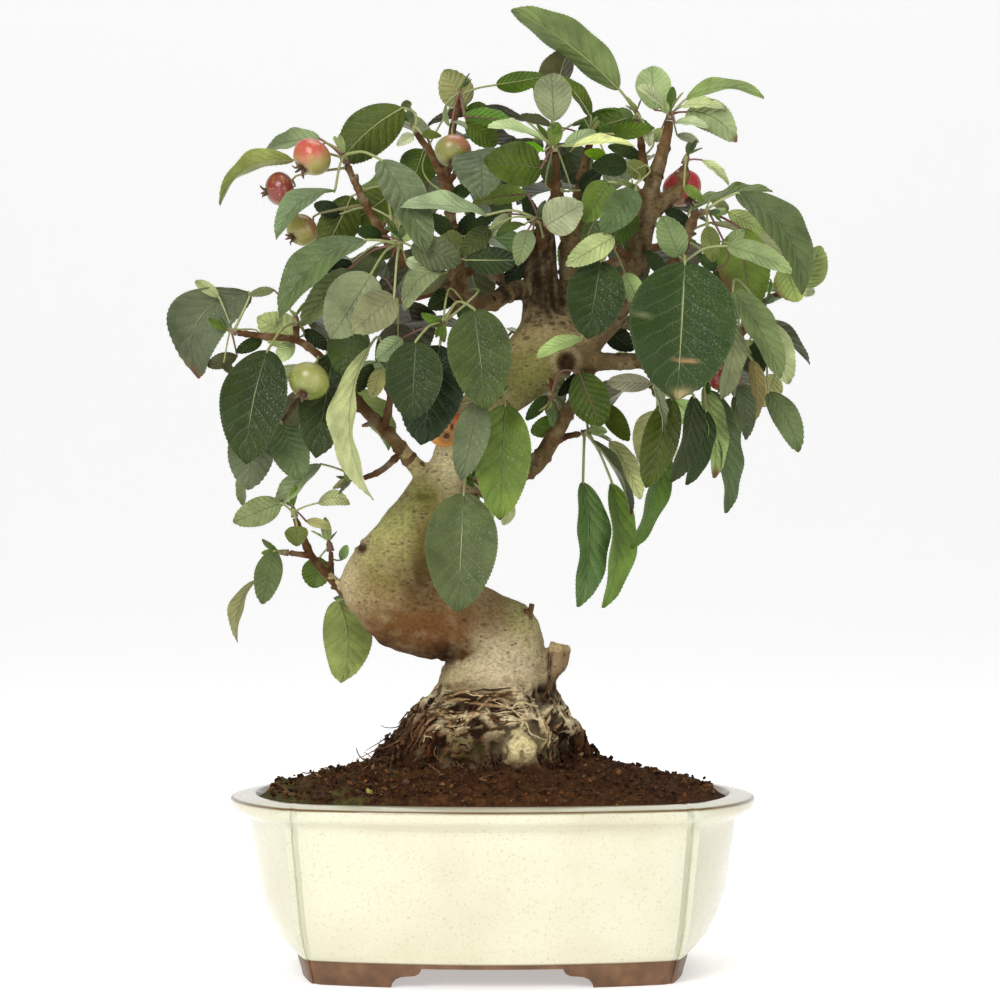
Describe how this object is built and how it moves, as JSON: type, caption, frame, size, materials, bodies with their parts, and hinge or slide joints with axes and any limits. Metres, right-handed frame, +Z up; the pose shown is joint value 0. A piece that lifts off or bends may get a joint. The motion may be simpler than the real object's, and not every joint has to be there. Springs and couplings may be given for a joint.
{
  "type": "crabapple bonsai tree",
  "caption": "Crabapple bonsai with a curved trunk, leafy drooping sprays and small fruit, planted in a lobed glazed pot on cloud feet.",
  "frame": {"origin": "on the ground under the middle of the pot", "axes": "+Z up, +X to the right, the front of the tree faces -Y"},
  "size_m": [0.2633, 0.16, 0.3909],
  "materials": {
    "glaze": "cream crackle glaze over fired clay, unglazed red-brown feet",
    "screen": "moulded plastic mesh",
    "soil": "dark brown crumbs with pebbles and fine roots",
    "bark": "tan-grey bark with brown and green patches",
    "leaf": "satin leaf with pale veins",
    "fruit": "waxy skin, yellow-green with a red blush"
  },
  "bodies": {
    "root": {"drain_screen_left": "screen", "drain_screen_right": "screen", "fruit_by_trunk": "fruit", "fruit_left": "fruit", "fruit_low_left": "fruit", "fruit_low_right": "fruit", "fruit_right": "fruit", "fruit_top_left": "fruit", "fruit_top_left_low": "fruit", "fruit_upper": "fruit", "leaves_back_left_far": "leaf", "leaves_back_left_low": "leaf", "leaves_back_left_mid": "leaf", "leaves_back_left_top": "leaf", "leaves_back_middle": "leaf", "leaves_back_right_high": "leaf", "leaves_back_right_low": "leaf", "leaves_back_right_mid": "leaf", "leaves_back_right_out": "leaf", "leaves_back_top": "leaf", "leaves_bend_back": "leaf", "leaves_burl_under": "leaf", "leaves_centre_front": "leaf", "leaves_fork_front": "leaf", "leaves_front_left": "leaf", "leaves_left_inner": "leaf", "leaves_left_knot": "leaf", "leaves_left_low_end": "leaf", "leaves_left_low_fork": "leaf", "leaves_left_low_hang": "leaf", "leaves_left_low_mid": "leaf", "leaves_left_low_side": "leaf", "leaves_left_low_twig": "leaf", "leaves_left_twig_mid": "leaf", "leaves_low_right_spur": "leaf", "leaves_low_shoot_inner": "leaf", "leaves_low_shoot_side": "leaf", "leaves_low_shoot_tip": "leaf", "leaves_mid_spur": "leaf", "leaves_right_far": "leaf", "leaves_right_hang": "leaf", "leaves_right_low_end": "leaf", "leaves_right_low_front": "leaf", "leaves_right_low_inner": "leaf", "leaves_right_low_mid": "leaf", "leaves_right_spur": "leaf", "leaves_right_stub": "leaf", "leaves_top_back": "leaf", "leaves_top_bud": "leaf", "leaves_top_centre": "leaf", "leaves_top_left_inner": "leaf", "leaves_top_left_tip": "leaf", "leaves_top_left_twig": "leaf", "leaves_top_right_tip": "leaf", "leaves_top_right_twig": "leaf", "leaves_trunk_front_high": "leaf", "leaves_trunk_front_low": "leaf", "pot": "glaze", "soil": "soil", "trunk_and_branches": "bark"}
  },
  "joints": []
}
